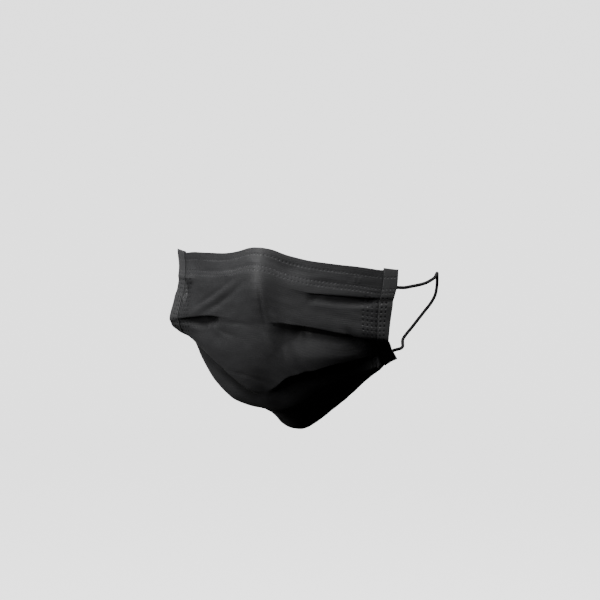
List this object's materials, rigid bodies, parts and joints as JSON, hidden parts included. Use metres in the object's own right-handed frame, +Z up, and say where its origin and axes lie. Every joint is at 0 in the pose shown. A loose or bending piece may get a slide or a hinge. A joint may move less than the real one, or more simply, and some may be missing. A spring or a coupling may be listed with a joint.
{
  "type": "surgical mask",
  "caption": "Pleated disposable face mask in its worn form: three-ply body with a bendable nose strip, taped sides and stretched round ear loops.",
  "frame": {"origin": "nose bridge: middle of the top edge, on the side of the hem that touches the face", "axes": "+X to the wearer's left along the mask's width, -Y forwards out of the face, +Z up"},
  "size_m": [0.1547, 0.1652, 0.1278],
  "materials": {
    "body_nonwoven": "black spunbond nonwoven, matte with a faint satin sheen and fine cross ribbing",
    "inner_nonwoven": "black spunbond nonwoven, matte",
    "side_tape": "black nonwoven tape with weld dots",
    "nose_strip": "white plastic-coated wire strip, satin",
    "elastic_cord": "black knitted round elastic, matte"
  },
  "bodies": {
    "root": {"mask_body": "body_nonwoven", "hem_flap": "inner_nonwoven", "nose_wire": "nose_strip", "side_binding_left": "side_tape", "side_binding_right": "side_tape", "ear_loop_left": "elastic_cord", "ear_loop_right": "elastic_cord"}
  },
  "joints": []
}
